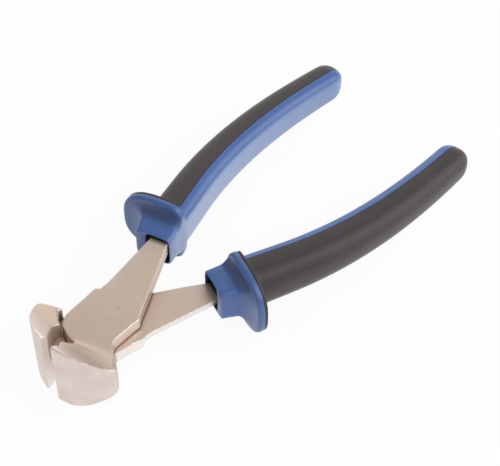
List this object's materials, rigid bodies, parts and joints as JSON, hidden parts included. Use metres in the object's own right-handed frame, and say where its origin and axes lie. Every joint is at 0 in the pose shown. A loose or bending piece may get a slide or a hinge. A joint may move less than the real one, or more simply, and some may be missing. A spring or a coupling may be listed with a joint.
{
  "type": "end cutting nippers",
  "caption": "End cutting nippers with two lapped steel levers on a flush rivet and guarded two-material grips; the handles hinge to close the jaws.",
  "frame": {"origin": "on the rivet axis at the lower joint face", "axes": "+X from the joint towards the handle ends, +Y towards the handle of lever A, +Z along the rivet"},
  "size_m": [0.1787, 0.0822, 0.0302],
  "materials": {
    "steel": "satin ground",
    "hard_grip": "semi-gloss moulded",
    "soft_grip": "matt"
  },
  "bodies": {
    "half_a": {"lever_a": "steel", "pivot_rivet": "steel", "grip_sleeve_a": "hard_grip", "grip_cover_a": "soft_grip"},
    "half_b": {"lever_b": "steel", "grip_sleeve_b": "hard_grip", "grip_cover_b": "soft_grip"}
  },
  "joints": [
    {"name": "pivot", "type": "hinge", "parent": "half_a", "child": "half_b", "pos_m": [0, 0, 0.005], "axis": [0, 0, 1], "range_deg": [-30, 8.6]}
  ]
}
